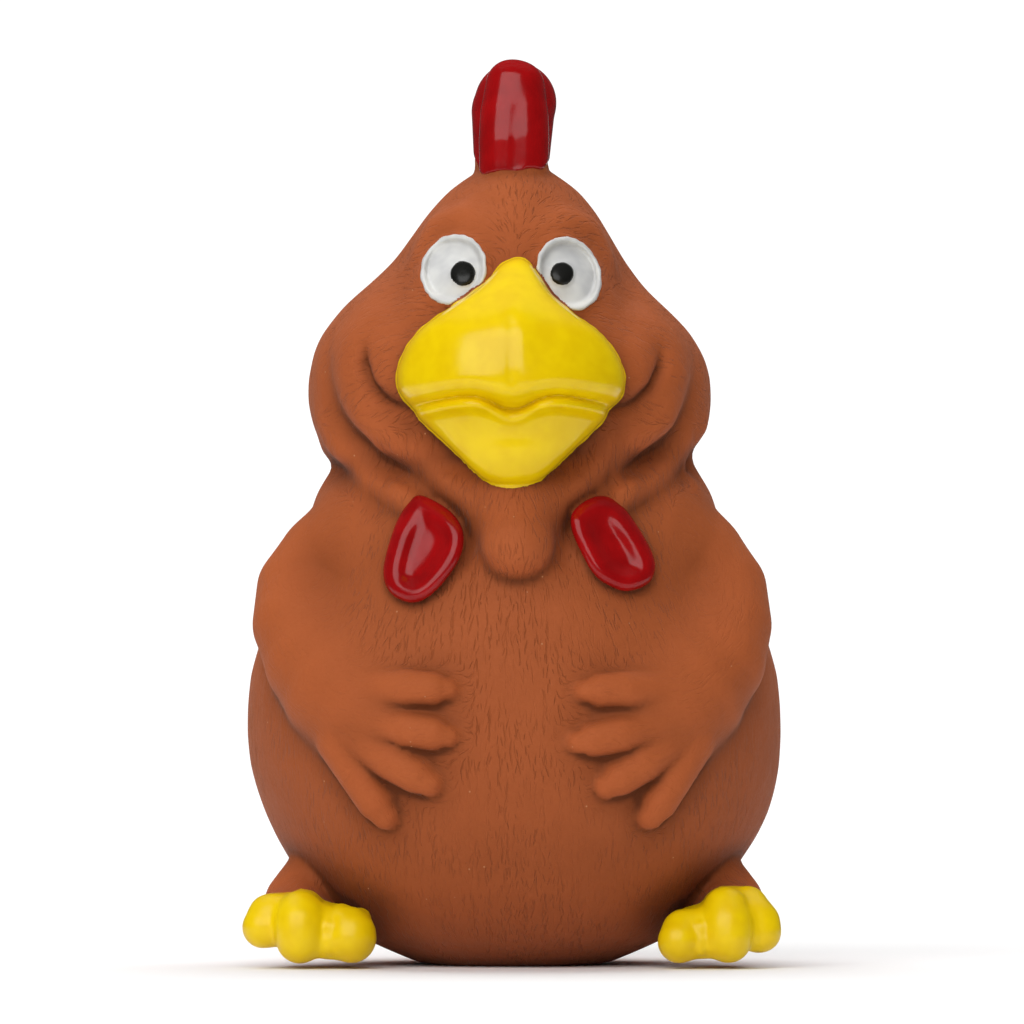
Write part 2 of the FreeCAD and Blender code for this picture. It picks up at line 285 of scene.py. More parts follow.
def outline_field(x, z, points):
    """Distance to a closed outline in the front view, negative inside."""
    loop = smooth_outline(points)
    near, inside = None, False
    for a, b in zip(loop, np.roll(loop, -1, 0)):
        d = b - a
        t = np.clip(((x - a[0]) * d[0] + (z - a[1]) * d[1]) / (d @ d), 0.0, 1.0)
        gap = (x - a[0] - t * d[0]) ** 2 + (z - a[1] - t * d[1]) ** 2
        near = gap if near is None else np.minimum(near, gap)
        crosses = (a[1] > z) != (b[1] > z)
        slope = d[0] / (d[1] if abs(d[1]) > 1e-9 else 1e-9)
        inside = inside ^ (crosses & (x < a[0] + (z - a[1]) * slope))
    return np.where(inside, -1.0, 1.0) * np.sqrt(near)


# ---- the base form, and where its front surface is
def bell(v, centre, width):
    """A smooth bump, 1 at the centre."""
    return np.exp(-(((v - centre) / width) ** 2))


def head_lean(z):
    """How far the head's middle stands aside: its right side is fuller."""
    lean = -0.75 * bell(z, 96, 12) - 1.35 * bell(z, 110, 5.5) - 0.45 * bell(z, 119.0, 7.0)
    return lean - 0.8 * bell(z, 84.5, 2.5) - 0.35 * bell(z, 103.0, 3.5)


def torso_lean(z):
    """The same for the body, where it is the left hip."""
    return 0.45 * bell(z, 24.0, 9.0)


def base_form(g):
    """The body and the head, before any feature."""
    g.f = column_form(g, TORSO, 2.05, lean=torso_lean)
    head = column_form(g, HEAD, 2.1, lean=head_lean)
    g.f = blend_min(g.f, head, 1.6)


BASE = Grid((-48, -48, -3), (48, 48, 136), 1.5)
base_form(BASE)


def face(x, z, sink=0.0):
    """The point of the base form's front surface at x and z, moved inwards by sink."""
    i, k = [(v - BASE.low[n]) / BASE.step for v, n in ((x, 0), (z, 2))]
    i0, k0 = int(i), int(k)
    u, w = i - i0, k - k0

    def column(di, dk):
        """Where the line of nodes at this corner goes in, or None if it misses."""
        line = BASE.f[i0 + di, :, k0 + dk]
        j = int(np.argmax(line < 0))
        if j == 0:
            return None
        t = line[j - 1] / (line[j - 1] - line[j])
        return BASE.low[1] + BASE.step * (j - 1 + t)

    corners = [column(0, 0), column(1, 0), column(0, 1), column(1, 1)]
    known = [c for c in corners if c is not None]
    corners = [c if c is not None else max(known) for c in corners]
    y = (corners[0] * (1 - u) + corners[1] * u) * (1 - w) + (corners[2] * (1 - u) + corners[3] * u) * w
    p = np.array([x, y, z])
    return p + normal_at(BASE, p) * -sink


def sample(g, field, points):
    """Values of a field on the grid's points, between its nodes."""
    points = np.atleast_2d(points)
    q = (points - g.low) / g.step
    q = np.clip(q, 0, np.array(g.count) - 1.001)
    i = q.astype(int)
    r = (q - i).astype(np.float32)
    out = np.zeros(len(points), np.float32)
    for corner in np.ndindex(2, 2, 2):
        share = [r[:, n] if far else 1 - r[:, n] for n, far in enumerate(corner)]
        out += share[0] * share[1] * share[2] * field[tuple((i + corner).T)]
    return out


def slopes(g, points, reach=None):
    """The field's gradient at the points."""
    reach = reach or g.step * 0.75
    points = np.atleast_2d(points)
    out = np.empty((len(points), 3), np.float32)
    for axis in range(3):
        d = np.zeros(3)
        d[axis] = reach
        out[:, axis] = (sample(g, g.f, points + d) - sample(g, g.f, points - d)) / (2 * reach)
    return out


def normal_at(g, p):
    n = slopes(g, p)[0]
    return n / (np.linalg.norm(n) + 1e-9)


def on_face(points):
    """x, z, strength -> x, y, z, strength, on the front of the base form."""
    return [(*face(x, z), strength) for x, z, strength in points]


# ---- features, for the bird's right side and its left; a line is x, z and strength
ARMS = {   # x, z, half width, relief
    -1: [(-30.6, 71.4, 5.2, 1.4), (-34.4, 67.6, 7.0, 4.4), (-35.8, 62.5, 7.6, 6.5),
         (-36.3, 57.0, 7.9, 6.5), (-34.8, 51.6, 8.4, 5.4), (-31.6, 46.8, 8.8, 4.8),
         (-28.0, 43.2, 8.6, 4.2), (-24.6, 41.2, 7.8, 3.2)],
    1: [(30.4, 71.8, 5.2, 1.4), (33.8, 67.8, 7.1, 4.2), (35.2, 62.5, 7.6, 6.3),
        (35.8, 57.0, 7.9, 6.3), (34.7, 51.4, 8.4, 6.0), (31.6, 46.2, 8.8, 4.8),
        (28.2, 42.4, 8.6, 4.2), (25.0, 40.4, 7.8, 3.2)],
}
FINGERS = {   # root x, z, tip x, z, radius at the root and at the tip
    -1: [(-24.0, 45.6, -10.7, 46.0, 3.7, 1.8), (-24.0, 40.4, -10.7, 38.4, 3.5, 1.8),
         (-26.0, 38.0, -13.7, 30.6, 3.8, 2.1), (-28.6, 37.4, -21.0, 25.4, 4.2, 2.4)],
    1: [(24.6, 45.5, 11.5, 45.6, 3.7, 1.8), (23.6, 39.8, 10.5, 37.3, 3.5, 1.8),
        (26.4, 37.6, 15.1, 30.2, 3.8, 2.1), (29.0, 37.2, 22.2, 25.4, 4.2, 2.4)],
}
SMILES = {   # creases that run on from the corners of the mouth
    -1: [(-16.8, 91.8, 0.5), (-18.9, 92.2, 0.7), (-21.4, 93.5, 1.0), (-23.5, 96.0, 1.0), (-24.6, 98.9, 1.0),
         (-24.7, 102.4, 0.15)],
    1: [(15.9, 92.0, 0.5), (18.0, 92.1, 0.6), (20.2, 93.1, 0.9), (22.6, 95.6, 1.0), (24.0, 98.4, 0.8),
        (24.3, 101.8, 0.15)],
}
CHEEKS = {   # the round of the cheek inside the crease
    -1: [(-21.0, 101.0, 0.6), (-20.6, 97.5, 1.0), (-19.0, 95.0, 0.7)],
    1: [(20.6, 100.5, 0.6), (20.2, 97.2, 1.0), (18.6, 95.0, 0.7)],
}
OUTER_CHEEKS = {   # the fold outside it
    -1: [(-26.8, 104.0, 0.5), (-27.2, 98.5, 1.0), (-26.2, 93.4, 0.9)],
    1: [(26.2, 103.5, 0.5), (26.8, 98.0, 1.0), (25.8, 93.4, 0.9)],
}
FIRST_ROLLS = {   # from beside the beak down to the throat
    -1: [(-24.4, 90.6, 0.8), (-20.6, 87.2, 1.0), (-15.4, 83.2, 1.0), (-10.6, 79.0, 1.0), (-7.2, 75.6, 0.5)],
    1: [(24.4, 90.4, 0.8), (20.6, 87.0, 1.0), (15.6, 83.0, 1.0), (10.8, 79.0, 1.0), (7.4, 75.6, 0.5)],
}
FIRST_VALLEYS = {   # the long creases outside and below them
    -1: [(-30.4, 103.0, 0.1), (-30.8, 97.0, 0.5), (-29.3, 91.4, 0.8), (-25.0, 86.2, 1.0),
         (-19.8, 82.0, 1.0), (-13.6, 78.2, 0.9), (-10.6, 75.0, 1.0), (-9.0, 71.4, 0.9), (-7.6, 67.4, 0.5)],
    1: [(29.8, 102.0, 0.1), (29.8, 96.5, 0.5), (28.4, 91.2, 0.8), (24.6, 86.2, 1.0),
        (19.6, 82.0, 1.0), (13.6, 78.2, 0.9), (10.8, 75.0, 1.0), (9.3, 71.4, 0.9), (8.2, 67.4, 0.5)],
}
SECOND_ROLLS = {   # the rolls below those creases
    -1: [(-31.6, 89.4, 0.5), (-27.6, 84.2, 1.0), (-23.0, 80.6, 1.0), (-18.0, 77.4, 0.7)],
    1: [(30.8, 89.2, 0.5), (27.0, 84.0, 1.0), (22.4, 80.4, 1.0), (17.8, 77.4, 0.7)],
}
NECK_CREASES = {   # what parts those rolls from the body
    -1: [(-30.6, 83.0, 0.5), (-27.4, 79.8, 1.0), (-22.4, 76.0, 1.0), (-19.6, 74.0, 0.6)],
    1: [(29.6, 83.2, 0.7), (26.8, 80.0, 1.0), (22.0, 76.2, 1.0), (19.0, 74.2, 0.6)],
}
BROWS = {   # ridges over the eyes
    -1: [(-15.6, 118.2, 0.5), (-13.0, 122.0, 1.0), (-8.9, 123.6, 1.0), (-5.0, 121.6, 0.5)],
    1: [(15.4, 117.6, 0.5), (12.8, 121.4, 1.0), (9.0, 122.8, 1.0), (5.2, 121.0, 0.5)],
}
FOREHEAD = [(0.0, 129.0, 0.7), (0.0, 122.0, 1.0), (0.0, 117.0, 0.8)]
TEMPLES = {   # hollows beside the eyes
    -1: [(-18.9, 116.0, 0.5), (-19.3, 111.0, 1.0), (-18.2, 106.5, 0.5)],
    1: [(18.3, 116.0, 0.6), (18.8, 111.2, 1.0), (17.8, 106.5, 0.6)],
}
DEWLAP = [   # x, y, z, radius
    (0.0, -20.6, 82.0, 8.4), (0.1, -28.2, 76.0, 7.4), (0.5, -33.8, 69.7, 6.2),
]
WATTLES = {   # outline in the front view
    -1: [(-16.4, 77.3), (-14.3, 77.2), (-10.4, 74.8), (-8.4, 71.4), (-9.2, 67.0), (-12.9, 62.1),
         (-16.4, 60.2), (-20.0, 61.6), (-21.3, 65.2), (-19.9, 71.2), (-18.2, 75.0)],
    1: [(14.8, 77.4), (11.8, 76.7), (9.6, 74.6), (9.5, 72.4), (10.5, 69.6), (13.0, 65.0), (15.9, 62.8),
        (18.8, 62.1), (22.0, 63.4), (23.0, 66.4), (21.3, 70.6), (17.8, 75.7)],
}
EYES = {-1: (-9.95, 114.75, 6.0, 5.4, -0.38), 1: (9.05, 114.05, 6.35, 5.2, 0.42)}   # x, z, half sizes, turn
PUPILS = {-1: (-8.4, 114.05, 2.15), 1: (7.9, 114.05, 2.0)}   # x, z, radius
THIGH = [(28.5, -6.0, 16.6, 7.5), (34.6, -11.0, 9.9, 6.7), (35.6, -17.0, 8.2, 5.0)]     # the left one
TOES = {   # each from its root to its ball: x, y, z, radius
    -1: [[(-36.4, -14.0, 9.0, 3.8), (-40.2, -22.8, 8.7, 2.9), (-41.2, -24.0, 6.7, 3.25)],
         [(-34.5, -17.0, 9.1, 3.8), (-35.0, -26.2, 8.9, 3.35), (-35.1, -27.4, 7.2, 3.7),
          (-35.1, -27.9, 4.8, 3.75)],
         [(-29.6, -18.0, 6.8, 3.5), (-27.0, -26.6, 6.6, 3.0), (-26.7, -27.6, 5.6, 3.5),
          (-26.6, -27.9, 4.8, 3.6)]],
    1: [[(36.4, -15.0, 9.9, 3.7), (38.4, -21.6, 10.2, 2.7), (40.2, -23.6, 7.6, 2.9),
         (40.7, -24.2, 5.8, 2.95)],
        [(34.6, -17.0, 9.6, 3.8), (34.7, -26.0, 9.7, 3.15), (35.0, -27.4, 7.2, 3.6),
         (35.1, -27.9, 4.9, 3.75)],
        [(29.8, -18.0, 6.6, 3.5), (27.8, -26.2, 6.2, 3.0), (27.1, -27.9, 4.5, 3.4)]],
}
WEBS = {   # what fills the gaps between the toes
    -1: [[(-30.6, -19.0, 7.8, 2.3), (-30.6, -26.0, 7.4, 2.3), (-30.5, -27.4, 4.2, 2.4)],
         [(-38.2, -17.0, 9.0, 2.4), (-38.4, -23.6, 9.0, 2.1), (-38.4, -24.6, 6.0, 2.0)]],
    1: [[(30.8, -19.0, 7.6, 2.2), (30.8, -26.0, 7.0, 2.2), (30.9, -27.4, 4.2, 2.3)],
        [(38.2, -18.0, 9.8, 2.2), (38.9, -23.8, 8.8, 1.9), (39.3, -24.8, 5.2, 1.9)]],
}
RIDGES = {   # the thin lines and small lumps on top of them
    -1: [[(-30.7, -25.4, 9.6, 0.7), (-30.3, -29.2, 7.0, 0.7), (-30.3, -29.6, 3.4, 0.7)],
         [(-28.3, -25.6, 9.0, 1.5), (-27.8, -28.6, 7.8, 1.5)],
         [(-25.2, -24.8, 8.2, 1.6), (-25.4, -27.6, 7.0, 1.7)]],
    1: [[(31.0, -25.4, 9.2, 0.7), (30.5, -29.0, 6.8, 0.7), (30.6, -29.6, 3.2, 0.7)],
        [(38.2, -23.4, 11.2, 0.7), (38.5, -26.4, 8.4, 0.7), (39.2, -26.8, 5.0, 0.7)]],
}
COMB = [   # each lobe from its root up: x, y, z, radius
    [(-1.5, -5.6, 129.0, 4.0), (-1.45, -5.3, 136.2, 4.2), (-1.15, -4.1, 140.8, 4.3),
     (-0.5, -2.5, 145.7, 4.0)],
    [(1.5, -5.6, 129.0, 3.9), (1.65, -5.3, 136.8, 4.0), (1.5, -4.1, 140.8, 4.0), (0.9, -2.5, 145.4, 4.0)],
    [(-0.55, 3.4, 129.0, 5.8), (-0.15, 3.4, 141.3, 6.75), (0.25, 3.4, 142.8, 6.65)],
    [(-0.3, 11.8, 127.5, 5.6), (0.0, 12.0, 138.6, 5.6)],
]
COMB_SOFTNESS = (0.6, 0.7, 1.1, 1.1)     # the fillet under each lobe
COMB_FOOT = [(-0.2, -3.2, 126.0, 5.7), (0.0, 12.0, 125.0, 6.0)]
COMB_LINE = 131.2                        # where the comb's paint begins, at its front


def arm_softness(side):
    """The arm flows into the body above, and stands off it with a step below."""
    def k(x, y, z):
        edge = 29.0 + (side * x - 27.0) * 1.45
        return (0.9 + 4.2 * rise(1.0, 15.0, z - edge) + 0 * y).astype(np.float32)
    return k


def dewlap_softness(x, y, z):
    """It flows out of the throat above, and stands clear of the breast below."""
    return (1.6 + 4.4 * rise(69.0, 78.0, z) + 0 * x + 0 * y).astype(np.float32)


def eye_share(x, z, side):
    """0 in the middle of the eye's leaning ellipse, 1 on its edge."""
    cx, cz, long, short, lean = EYES[side]
    c, s = math.cos(lean), math.sin(lean)
    across, along = c * (x - cx) + s * (z - cz), -s * (x - cx) + c * (z - cz)
    return np.sqrt((across / short) ** 2 + (along / long) ** 2)


def mouth_height(x):
    """The height of the line between the beak's halves."""
    return 94.4 - 2.8 * bell(x, -0.3, 4.2) - 0.008 * x ** 2


def bird(g):
    """The whole moulding's outer form."""
    base_form(g)
    for side in SIDES:
        rolls(g, side)
    add_chain(g, DEWLAP, dewlap_softness)
    for side in SIDES:
        press(g, on_face(CHEEKS[side]), width=3.2, height=1.1)
        press(g, on_face(OUTER_CHEEKS[side]), width=3.6, height=0.9)
        press(g, on_face(SMILES[side]), width=0.95, height=-1.9)
        press(g, on_face(BROWS[side]), width=3.0, height=1.4, sink=0.4)
        press(g, on_face(TEMPLES[side]), width=3.8, height=-1.3, sink=0.2)
        add_arm(g, side)
    press(g, on_face(FOREHEAD), width=4.0, height=0.9)
    feet(g)
    tail(g)
    comb(g)
    wattles(g)
    eyes(g)
    beak(g)
    ground(g)


def rolls(g, side):
    """The rolls under the cheeks and the creases between them."""
    press(g, on_face(SECOND_ROLLS[side]), width=3.1, height=1.8)
    press(g, on_face(FIRST_ROLLS[side]), width=3.0, height=2.0)
    press(g, on_face(FIRST_VALLEYS[side]), width=2.2, height=-1.5)
    press(g, on_face(NECK_CREASES[side]), width=1.9, height=-1.4)


def mound(x, z, half, relief):
    """A ball that shows as a mound of this half width and relief on the base form."""
    radius = (half * half + relief * relief) / (2 * relief)
    return (*face(x, z, radius - relief), radius)


def add_arm(g, side):
    """The wing, and its fingers, which narrow towards the tip."""
    add_chain(g, [mound(*p) for p in ARMS[side]], arm_softness(side))
    for x0, z0, x1, z1, r0, r1 in FINGERS[side]:
        root, tip = face(x0, z0, 0.6), face(x1, z1, -0.1)
        mid = face((x0 + x1) / 2, (z0 + z1) / 2, -0.4)
        near = face((x0 + 4.2 * x1) / 5.2, (z0 + 4.2 * z1) / 5.2, -0.3)
        add_chain(g, [(*root, r0), (*mid, 3.3), (*near, 1.95 + r1 / 2), (*tip, r1)], 0.6)


def feet(g):
    """Thighs, and in front of them the painted toes with webs between."""
    middle, half, paint_y = 34.0, 15.0, -19.5
    for side, name in SIDES.items():
        add_chain(g, [(side * x, y, z, radius) for x, y, z, radius in THIGH], 1.2)
        part = g.window((side * middle - half, -42.0, -4.0), (side * middle + half, -6.0, 18.0))
        if part is None:
            continue
        cut, x, y, z = part
        foot = None
        for group, within, between in ((TOES, 1.6, 1.6), (WEBS, 1.6, 1.8), (RIDGES, 0.7, 0.7)):
            for toe in group[side]:
                form = chain_field(x, y, z, toe, within)
                foot = form if foot is None else blend_min(foot, form, between)
        wave = 0.35 * np.sin(1.3 * z + 0.9 * x) + 0.2 * np.sin(2.9 * x)
        g.mark(name + "_toes", np.maximum(0.7 * (foot - g.f[cut]) - 0.3, 0.8 * (y - paint_y + wave)), cut)
        g.f[cut] = blend_min(g.f[cut], foot.astype(np.float32), 0.6)


def tail(g):
    """Three short feathers that stand up at the back."""
    add_chain(g, [(0.0, 33.5, 27.0, 9.0), (0.0, 37.5, 36.0, 6.4), (0.0, 40.6, 43.0, 3.8)], 3.0)
    for side in SIDES:
        add_chain(g, [(side * 6.5, 33.5, 27.5, 6.6), (side * 9.0, 37.4, 39.0, 3.6)], 2.0)


def comb(g):
    """Four lobes on a common foot; the edge of their paint climbs towards the back."""
    for lobe, k in zip(COMB, COMB_SOFTNESS):
        add_chain(g, lobe, k)
    add_chain(g, COMB_FOOT, 1.8)
    x, y, z = g.x, g.y, g.z
    line = COMB_LINE + 0.09 * x + 0.16 * np.sin(1.3 * x + 0.9 * y)
    line = line + 0.3 * np.clip(y + 1.5, 0.0, 6.0) * (0.75 - 0.08 * x)
    line = line + 1.6 * rise(4.9, 6.6, np.abs(x + 0.2))
    g.mark("comb", line - z)


def wattles(g):
    """Spoon-shaped drops: a rounded rim about a shallow dish that opens at the top."""
    dish, rim_height, corner, root = 1.35, 2.9, 1.85, 4.0     # heights over the breast, rounding, depth
    for side in SIDES:
        outline = WATTLES[side]
        cx, cz = np.mean(outline, 0)
        centre = face(cx, cz)
        n = normal_at(BASE, centre)
        part = g.window(centre - 13.0, centre + 13.0)
        if part is None:
            continue
        cut, x, y, z = part
        edge = outline_field(x, z, outline)
        inside = np.maximum(-edge, 0.0)
        height = centre[1] - y - ((x - cx) * n[0] + (z - cz) * n[2]) / n[1]
        top = rise(2.0, 7.5, (z - cz) + 0.2 * side * (x - cx))
        rim = rim_height - 1.2 * top
        front = soften(dish + (rim - dish) * (1.0 - rise(1.8, 4.0, inside)), g.step, 0.6)
        across, over = edge + corner, height - (front - corner)
        outside = np.sqrt(np.maximum(across, 0) ** 2 + np.maximum(over, 0) ** 2)
        body = outside + np.minimum(np.maximum(across, over), 0)
        body = np.maximum(body - corner, -root - height)
        g.mark(SIDES[side] + "_wattle", 0.7 * (body - g.f[cut]) - 0.1, cut)
        g.f[cut] = blend_min(g.f[cut], body.astype(np.float32), 0.45)


def beak(g):
    """Both halves as one form, with the mouth as a groove; the paints meet in the groove."""
    upper = column_form(g, UPPER_BEAK, 2.15, BEAK_ROOT_Y)
    lower = column_form(g, LOWER_BEAK, 2.2, BEAK_ROOT_Y)
    gap = g.z - mouth_height(g.x)
    both = blend_min(upper, lower, 0.9)
    reach_up, reach_down, paint_overlap = 3.1, 1.5, 1.2
    slope = np.where(gap > 0, np.clip(gap / reach_up, 0, 1), np.clip(-gap / reach_down, 0, 1))
    groove = (1.0 - slope) ** 1.8
    both = both + (0.7 + 1.3 * np.exp(-((g.x / 14.0) ** 6))) * groove
    lips = 0.12 * bell(gap, 3.8, 2.4) + 0.48 * bell(gap, -1.7, 0.9)
    chin = 0.15 * bell(g.z, 82.2, 2.4) * bell(g.x, 0.0, 6.0)
    hollow = 0.85 * bell(g.z, 88.4, 2.8) * bell(g.x, 0.0, 11.0)
    crest = bell(g.x, 0.0, 3.6) * rise(94.5, 99.0, g.z) * (1.0 - rise(107.0, 115.0, g.z))
    notch = bell(g.x, -0.5, 1.0) * rise(94.5, 97.0, g.z) * (1.0 - rise(105.0, 109.0, g.z))
    both = both - lips - chin + hollow - (0.45 + 0.5 * rise(97.0, 105.0, g.z)) * crest + 0.34 * notch
    limit = outline_field(g.x, g.z, BEAK_OUTLINE)
    both = -blend_min(-both, -(limit + 0.2), 1.7)
    both = np.maximum(both, g.y - BEAK_ROOT_Y - 2.5)
    wave = 0.05 * np.sin(1.9 * g.z + 0.8 * g.x) + 0.03 * np.sin(3.1 * g.x - 1.3 * g.z)
    outline = np.maximum(limit - 0.3 + wave, g.y + 14.0).astype(np.float32)
    g.f = blend_min(g.f, both.astype(np.float32), 0.5)
    g.mark("upper_beak", np.maximum(outline, -gap - paint_overlap))
    g.mark("lower_beak", np.maximum(outline, gap - paint_overlap))
    g.rim = {"upper_beak": outline, "lower_beak": outline}
    for side in SIDES.values():
        for name in (side + "_eye_white", side + "_pupil"):
            if name in g.paint:
                g.paint[name] = np.maximum(g.paint[name], 0.1 - outline)


def eyes(g):
    """Painted dishes with a raised rim, and a domed pupil in each."""
    share_size = 5.5     # millimetres to one unit of eye_share
    for side in SIDES:
        centre = face(*EYES[side][:2])
        part = g.window(centre - 9.0, centre + (9.0, 9.0, 9.0))
        if part is None:
            continue
        cut, x, y, z = part
        share = eye_share(x, z, side)
        front = 1.0 - rise(centre[1] + 3.0, centre[1] + 8.0, y)
        px, pz, radius = PUPILS[side]
        pupil = np.sqrt((x - px) ** 2 + (z - pz) ** 2) / radius
        dome = 0.75 * np.clip(1.12 - pupil ** 2, 0.0, 1.0) ** 0.6
        wave = 0.06 * np.sin(2.3 * z + 1.1 * x + side) + 0.05 * np.sin(3.7 * x - 1.9 * z)
        behind = y - centre[1] - 6.0
        g.mark(SIDES[side] + "_eye_white", np.maximum((share - 1.0) * share_size + wave, behind), cut)
        g.mark(SIDES[side] + "_pupil", np.maximum((pupil - 1.0) * radius + 0.6 * wave, behind), cut)
        rim = 0.75 * (1.0 - rise(0.97, 1.12, share))
        bowl = -1.35 * (1.0 - rise(0.76, 0.92, share)) + 0.6 * np.clip(1.0 - (share / 0.8) ** 2, 0, 1)
        g.f[cut] -= (front * (rim + bowl + dome)).astype(np.float32)


def ground(g):
    """Cuts the form flat at z = 0, with a soft edge."""
    softness = 0.8
    g.f = -blend_min(-g.f, g.z + 0.0 * g.f, softness)


# ---- meshes
def mesh_of(g, name):
    """The zero surface of the grid's field as a Blender object, and the object's points."""
    band = 9.0
    vdb = openvdb.FloatGrid(band + 1.0)
    vdb.copyFromArray(np.clip(g.f, -band, band))
    points, quads = vdb.convertToQuads(isovalue=0.0)
    points = points.astype(np.float64) * g.step + g.low
    for _ in range(2):     # moves each point closer to the surface
        s = slopes(g, points)
        gap = sample(g, g.f, points)
        move = s * (gap / np.maximum((s * s).sum(1), 0.05))[:, None] * 0.9
        points = points - np.clip(move, -0.4 * g.step, 0.4 * g.step)
    a, b, c = points[quads[0, 0]], points[quads[0, 1]], points[quads[0, 2]]
    if np.dot(np.cross(b - a, c - a), slopes(g, a[None])[0]) < 0:
        quads = quads[:, ::-1]
    mesh = bpy.data.meshes.new(name)
    mesh.vertices.add(len(points))
    mesh.vertices.foreach_set("co", (points * MM * K).astype(np.float32).ravel())
    mesh.loops.add(quads.size)
    mesh.loops.foreach_set("vertex_index", quads.astype(np.int32).ravel())
    mesh.polygons.add(len(quads))
    mesh.polygons.foreach_set("loop_start", np.arange(0, quads.size, 4, dtype=np.int32))
    mesh.update(calc_edges=True)
    mesh.validate()
    mesh.shade_smooth()
    piece = bpy.data.objects.new(name, mesh)
    bpy.context.collection.objects.link(piece)
    return piece, points


def attribute(piece, name, kind, values):
    """Writes one value for each of the piece's points, for a material to read."""
    data = piece.data.attributes.new(name, kind, "POINT").data
    field = "vector" if kind == "FLOAT_VECTOR" else "value"
    data.foreach_set(field, np.asarray(values, np.float32).ravel())


def true_distance(g):
    """Divides the field by its steepness, so that it measures millimetres near the surface."""
    steep = np.sqrt(sum(d * d for d in np.gradient(g.f, g.step)))
    g.f = g.f / np.clip(steep, 0.35, 1.6)


def cylinder_field(g, radius, top):
    """The distance to an upright cylinder about Z, from below up to its top."""
    return np.maximum(np.sqrt(g.x ** 2 + g.y ** 2) - radius, g.z - top)


def flow_of(points, normals):
    """Which way the engraved feather strokes run at each point, along the surface."""
    x, y, z = points.T
    flow = np.stack([-0.32 * x / 30.0, 0 * y, np.ones_like(z)], 1)
    head = rise(84.0, 92.0, z) * rise(-2.0, -12.0, y)
    brow = rise(114.0, 119.0, z)
    centre = np.stack([x, 0 * y, z - 104.0 - 14.0 * brow], 1)
    centre /= np.linalg.norm(centre, axis=1)[:, None] + 1e-6
    flow = flow * (1 - head)[:, None] + centre * head[:, None]
    for side in SIDES:
        line = [face(p[0], p[1]) for p in ARMS[side]]
        bones = [(a, b, 5.0, 10.0) for a, b in zip(line, line[1:])]
        bones += [(face(f[0], f[1]), face(f[2], f[3]), 3.0, 5.0) for f in FINGERS[side]]
        for a, b, inner, outer in bones:
            d = b - a
            t = np.clip((points - a) @ d / (d @ d), 0, 1)
            gap = np.linalg.norm(points - a - t[:, None] * d, axis=1)
            near = (1 - rise(inner, outer, gap))[:, None]
            flow = flow * (1 - near) + d / np.linalg.norm(d) * near
    flow -= (flow * normals).sum(1)[:, None] * normals
    return flow / (np.linalg.norm(flow, axis=1)[:, None] + 1e-6)


def chiselled(points):
    """How deep the fine strokes are: in full, but fainter on the front of the arms and hands."""
    x, y, z = points.T
    limbs = [[(a[0], 0.0, a[1], a[2]) for a in arm] for arm in ARMS.values()]
    limbs += [[(f[0], 0.0, f[1], f[4]), (f[2], 0.0, f[3], f[5])] for hand in FINGERS.values() for f in hand]
    near = np.minimum.reduce([chain_field(x, 0.0, z, limb) for limb in limbs])
    return np.maximum(0.38 + 0.62 * rise(-0.5, 3.0, near), rise(-8.0, 4.0, y))


def surface_facts(piece, g, points):
    """Attributes for the material: the rest position, hollows, and the way of the strokes."""
    normals = slopes(g, points, 1.2)
    normals /= np.linalg.norm(normals, axis=1)[:, None] + 1e-6
    capped = np.clip(g.f, -6.0, 6.0)
    attribute(piece, "rest", "FLOAT_VECTOR", points)
    attribute(piece, "crease", "FLOAT", -sample(g, soften(capped, g.step, 1.6), points))
    attribute(piece, "hollow", "FLOAT", -sample(g, soften(capped, g.step, 4.5), points))
    attribute(piece, "flow", "FLOAT_VECTOR", flow_of(points, normals))
    attribute(piece, "chiselled", "FLOAT", chiselled(points))


HOLE = (12.4, 1.8)        # the squeaker's hole in the base: radius, top
POCKET = (9.6, 23.4)      # the room it has in the wadding
UNDER_PAINT = 0.55        # how far the latex stays below the paints


def make_skin():
    """The whole moulding, without its paints."""
    g = Grid((-50, -50, -3), (50, 50, 140), 0.8)
    bird(g)
    true_distance(g)
    outer = copy.copy(g)
    under_paint = np.minimum.reduce(list(g.paint.values()))
    g.f = g.f + UNDER_PAINT * rise(0.25, 1.3, -under_paint)
    g.f = np.maximum(g.f, -cylinder_field(g, *HOLE))
    piece, points = mesh_of(g, "latex_skin")
    surface_facts(piece, outer, points)
    piece.data.materials.append(latex())
    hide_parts("lower_skin", "upper_skin")
    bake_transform(piece)


PAINTED = {   # node: low and high corner of a box around it, body, slot, thickness of the paint
    "comb": ((-9, -14, 126), (9, 20, 153), "upper_body", "red_paint", 0.16),
    "upper_beak": ((-22, -50, 88), (22, -12, 121), "upper_body", "yellow_paint", 0.19),
    "lower_beak": ((-20, -50, 76), (20, -12, 97), "upper_body", "yellow_paint", 0.15),
    "right_eye_white": ((-17, -33, 107), (-3, -12, 123), "upper_body", "white_paint", 0.14),
    "left_eye_white": ((2, -33, 106), (17, -12, 123), "upper_body", "white_paint", 0.14),
    "right_pupil": ((-12, -33, 111), (-5, -12, 118), "upper_body", "black_paint", 0.26),
    "left_pupil": ((5, -33, 111), (12, -12, 118), "upper_body", "black_paint", 0.26),
    "right_wattle": ((-24, -42, 58), (-7, -20, 80), "upper_body", "red_paint", 0.16),
    "left_wattle": ((7, -42, 58), (26, -20, 81), "upper_body", "red_paint", 0.16),
    "right_toes": ((-49, -40, -1), (-20, -14, 15), "base", "yellow_paint", 0.16),
    "left_toes": ((20, -40, -1), (49, -14, 15), "base", "yellow_paint", 0.16),
}
PAINT_DEPTH = 1.3     # how far a coat reaches into the latex
PAINT_CORNER = 0.35   # the rounding of its edge


